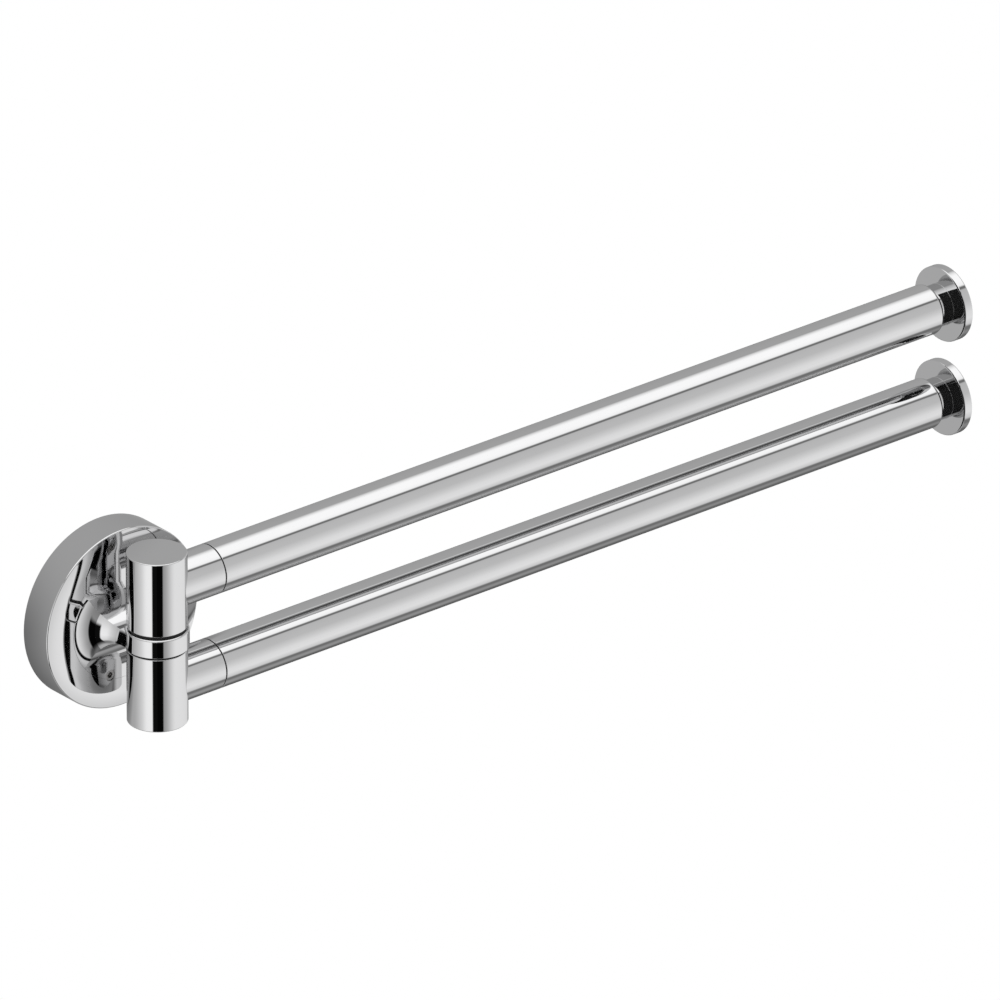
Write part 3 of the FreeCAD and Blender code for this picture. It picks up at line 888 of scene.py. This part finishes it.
def hang_flag(studio):
    """Black cloth before the arms' ends, open from the post's side: their necks mirror it."""
    shape = bmesh.new()
    bmesh.ops.create_grid(shape, x_segments=1, y_segments=1, size=0.5)
    bmesh.ops.scale(shape, verts=shape.verts[:],
                    vec=(studio.flag_top + studio.flag_drop, studio.flag_width, 1))
    near = post_axis.y - studio.flag_gap
    centre = Vector((tube_end - studio.flag_from_end, near - studio.flag_width / 2,
                     (studio.flag_top - studio.flag_drop) / 2))
    placed(shape, centre, ALONG)
    flag = as_object(shape, "studio_flag")
    material, tree, shader, place = new_material("studio_flag")
    shader.inputs["Roughness"].default_value = 0.95
    weave = noise(tree, place, scale=900, detail=2)
    tree.links.new(toned(tree, weave, (0.006,) * 3, (0.012,) * 3),
                   shader.inputs["Base Color"])
    show(tree, one_sided(tree, shader.outputs[0]))
    flag.data.materials.append(material)
    only_mirrored(flag)


def light_studio(scene, studio):
    """Surroundings: soft greys with one dark gap low in front, white behind everything."""
    world = bpy.data.worlds.new("studio")
    scene.world = world
    world.use_nodes = True
    tree = world.node_tree
    tree.nodes.clear()
    sums = NodeSums(tree)
    x, y, z = sums.parts(tree.nodes.new("ShaderNodeTexCoord").outputs["Generated"])
    degrees = math.degrees(1)
    height = sums.product(sums.math("ARCSINE", z), degrees)
    bearing = sums.product(sums.math("ARCTAN2", x, sums.product(y, -1.0)), degrees)

    left, right = sums.fall(bearing, *BACK_LEFT), sums.step(bearing, *BACK_RIGHT)
    ahead = sums.math("SUBTRACT", sums.rest(left), right)
    grey = sums.product(sums.curve(height, FRONT_TONES), ahead)
    for tones, part in ((BACK_LEFT_TONES, left), (BACK_RIGHT_TONES, right)):
        grey = sums.math("ADD", grey, sums.product(sums.curve(height, tones), part))
    glow = sums.product(sums.band(bearing, *GLOW_SIDES, GLOW_SOFT), GLOW_LIGHT)
    grey = sums.product(grey, sums.math("ADD", glow, 1.0))

    shade = sums.product(
        sums.fall(bearing, *SHADE_RIGHT), sums.step(bearing, *SHADE_LEFT),
        sums.fall(height, *SHADE_TOP), SHADE_DEPTH)
    grey = sums.product(grey, sums.rest(shade))

    lean = sums.product(sums.fall(height, *GAP_LEAN), GAP_LEAN_BY)
    gap = sums.product(
        sums.step(sums.math("ADD", bearing, lean), *GAP_LEFT),
        sums.fall(bearing, *GAP_RIGHT), sums.fall(height, *GAP_TOP),
        sums.step(height, *GAP_FOOT), GAP_DEPTH)
    grey = sums.product(grey, sums.rest(gap))

    studio_light = tree.nodes.new("ShaderNodeBackground")
    tree.links.new(grey, studio_light.inputs["Color"])
    studio_light.inputs["Strength"].default_value = studio.gain
    white = tree.nodes.new("ShaderNodeBackground")
    white.inputs["Color"].default_value = (1, 1, 1, 1)
    seen = tree.nodes.new("ShaderNodeLightPath").outputs["Is Camera Ray"]
    tree.links.new(mixed(tree, seen, studio_light.outputs[0], white.outputs[0]),
                   tree.nodes.new("ShaderNodeOutputWorld").inputs["Surface"])


def aim_camera(scene, studio):
    """Long lens, moved sideways so that the post falls at its place in the picture."""
    camera = bpy.data.objects.new("camera", bpy.data.cameras.new("camera"))
    scene.collection.objects.link(camera)
    scene.camera = camera
    turn, rise = studio.azimuth, studio.elevation
    back = Vector((math.sin(turn) * math.cos(rise), -math.cos(turn) * math.cos(rise),
                   math.sin(rise)))
    right = Vector((math.cos(turn), math.sin(turn), 0))
    up = back.cross(right)
    place = (post_axis + back * studio.distance
             + right * (0.5 - studio.post_right) * studio.picture_width
             + up * (studio.post_down - 0.5) * studio.picture_width)
    pose = Matrix((right, up, back)).transposed().to_4x4()
    pose.translation = place
    camera.matrix_world = pose
    camera.data.sensor_width = SENSOR_WIDTH
    camera.data.lens = SENSOR_WIDTH * studio.distance / studio.picture_width
    camera.data.clip_end = VIEW_END


# ---------------------------------------------------------------- panel and registration

STEPS = (
    TOWELRAIL_OT_rosette,
    TOWELRAIL_OT_bracket,
    TOWELRAIL_OT_swivel_bodies,
    TOWELRAIL_OT_tubes,
    TOWELRAIL_OT_end_knobs,
    TOWELRAIL_OT_inner_pieces,
    TOWELRAIL_OT_studio,
)


class TOWELRAIL_PT_panel(bpy.types.Panel):
    """Steps that dress the towel rail."""
    bl_label = "Towel Rail"
    bl_idname = "TOWELRAIL_PT_panel"
    bl_space_type = "VIEW_3D"
    bl_region_type = "UI"
    bl_category = "Towel Rail"

    def draw(self, context):
        for step in STEPS:
            self.layout.operator(step.bl_idname)


GROUPS = (
    (TowelRailShape, "towel_rail_shape"),
    (TowelRailFinish, "towel_rail_finish"),
    (TowelRailStudio, "towel_rail_studio"),
)


def register():
    for group, name in GROUPS:
        bpy.utils.register_class(group)
        setattr(bpy.types.Scene, name, bpy.props.PointerProperty(type=group))
    for step in STEPS:
        bpy.utils.register_class(step)
    bpy.utils.register_class(TOWELRAIL_PT_panel)


def unregister():
    bpy.utils.unregister_class(TOWELRAIL_PT_panel)
    for step in reversed(STEPS):
        bpy.utils.unregister_class(step)
    for group, name in reversed(GROUPS):
        delattr(bpy.types.Scene, name)
        bpy.utils.unregister_class(group)


def main():
    register()
    bpy.ops.towel_rail.rosette()
    bpy.ops.towel_rail.bracket()
    bpy.ops.towel_rail.swivel_bodies()
    bpy.ops.towel_rail.tubes()
    bpy.ops.towel_rail.end_knobs()
    bpy.ops.towel_rail.inner_pieces()
    bpy.ops.towel_rail.studio()


if __name__ == "__main__":
    main()
